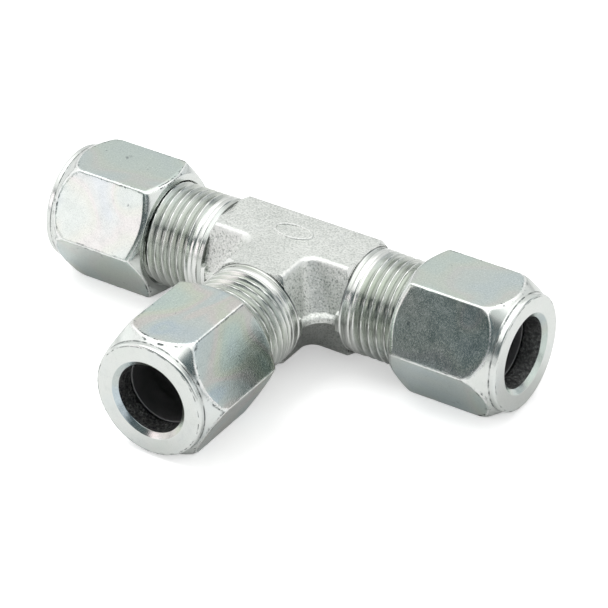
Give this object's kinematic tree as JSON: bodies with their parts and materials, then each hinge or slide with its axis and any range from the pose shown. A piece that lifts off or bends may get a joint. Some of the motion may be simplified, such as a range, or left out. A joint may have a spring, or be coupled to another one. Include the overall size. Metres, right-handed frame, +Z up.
{
  "type": "compression tee fitting",
  "caption": "Equal union tee for rigid tube: a forged body with threaded stubs, each closed by a ferrule and a hexagonal union nut that screws on and off.",
  "frame": {"origin": "centre of the flat pad under the forging, straight below the point where the three port axes meet", "axes": "+X along the run towards the right-hand port, -Y along the branch outwards, +Z up, square to the forging pads"},
  "size_m": [0.0933, 0.0588, 0.0222],
  "materials": {
    "forged_body": "shot-blasted forging, zinc plated, with turned and threaded ends",
    "union_nut": "bright zinc plating with a faint rainbow passivation",
    "ferrule": "dark case-hardened steel"
  },
  "bodies": {
    "tee": {"tee_body": "forged_body"},
    "run_left_ferrule": {"run_left_ferrule": "ferrule"},
    "run_left_nut": {"run_left_nut": "union_nut"},
    "run_right_ferrule": {"run_right_ferrule": "ferrule"},
    "run_right_nut": {"run_right_nut": "union_nut"},
    "branch_ferrule": {"branch_ferrule": "ferrule"},
    "branch_nut": {"branch_nut": "union_nut"}
  },
  "joints": [
    {"name": "run_left_ferrule_slide", "type": "slide", "parent": "tee", "child": "run_left_ferrule", "axis": [-1, 0, 0], "range_m": [-0.00291, 0.00503]},
    {"name": "run_left_nut_turn", "type": "hinge", "parent": "run_left_ferrule", "child": "run_left_nut", "pos_m": [-0.0345, 0, 0.0091], "axis": [-1, 0, 0], "range_deg": [-660, 1140]},
    {"name": "run_right_ferrule_slide", "type": "slide", "parent": "tee", "child": "run_right_ferrule", "axis": [1, 0, 0], "range_m": [-0.00159, 0.00635]},
    {"name": "run_right_nut_turn", "type": "hinge", "parent": "run_right_ferrule", "child": "run_right_nut", "pos_m": [0.0345, 0, 0.0091], "axis": [1, 0, 0], "range_deg": [-360, 1440]},
    {"name": "branch_ferrule_slide", "type": "slide", "parent": "tee", "child": "branch_ferrule", "axis": [0, -1, 0], "range_m": [-0.00159, 0.00635]},
    {"name": "branch_nut_turn", "type": "hinge", "parent": "branch_ferrule", "child": "branch_nut", "pos_m": [0, -0.0345, 0.0091], "axis": [0, -1, 0], "range_deg": [-360, 1440]}
  ],
  "couplings": [
    {"joint": "run_left_nut_turn", "follows": "run_left_ferrule_slide", "rad_per_m": 3957.9},
    {"joint": "run_right_nut_turn", "follows": "run_right_ferrule_slide", "rad_per_m": 3957.9},
    {"joint": "branch_nut_turn", "follows": "branch_ferrule_slide", "rad_per_m": 3957.9}
  ]
}
